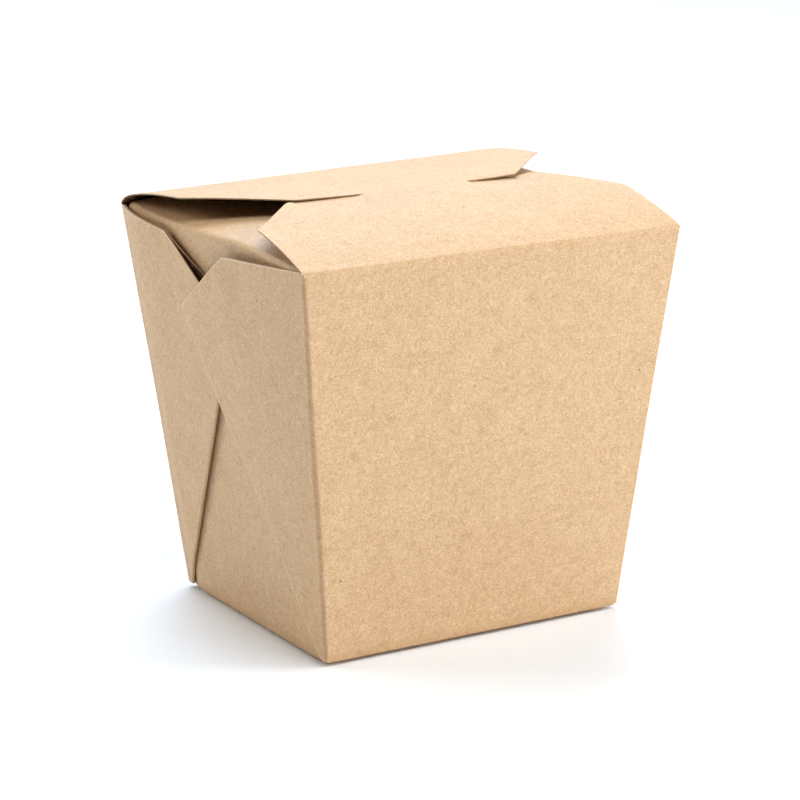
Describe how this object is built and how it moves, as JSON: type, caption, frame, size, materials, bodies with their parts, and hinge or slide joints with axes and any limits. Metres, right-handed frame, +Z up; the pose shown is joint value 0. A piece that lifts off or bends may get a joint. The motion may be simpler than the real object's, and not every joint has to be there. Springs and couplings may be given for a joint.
{
  "type": "noodle takeaway box",
  "caption": "Shut noodle takeaway box of plain kraft board: a tapered body with folded webs on its sides and two lid flaps locked by a tongue in a slit.",
  "frame": {"origin": "middle of the base, on the surface the box stands on", "axes": "+Z up from the base to the lid, X across the front wall with +X to the right seen from the front, +Y from the front wall to the rear wall"},
  "size_m": [0.109, 0.096, 0.1085],
  "materials": {
    "kraft_board": "uncoated light brown kraft board with fine fibres and small dark specks"
  },
  "bodies": {
    "root": {"carton": "kraft_board"}
  },
  "joints": []
}
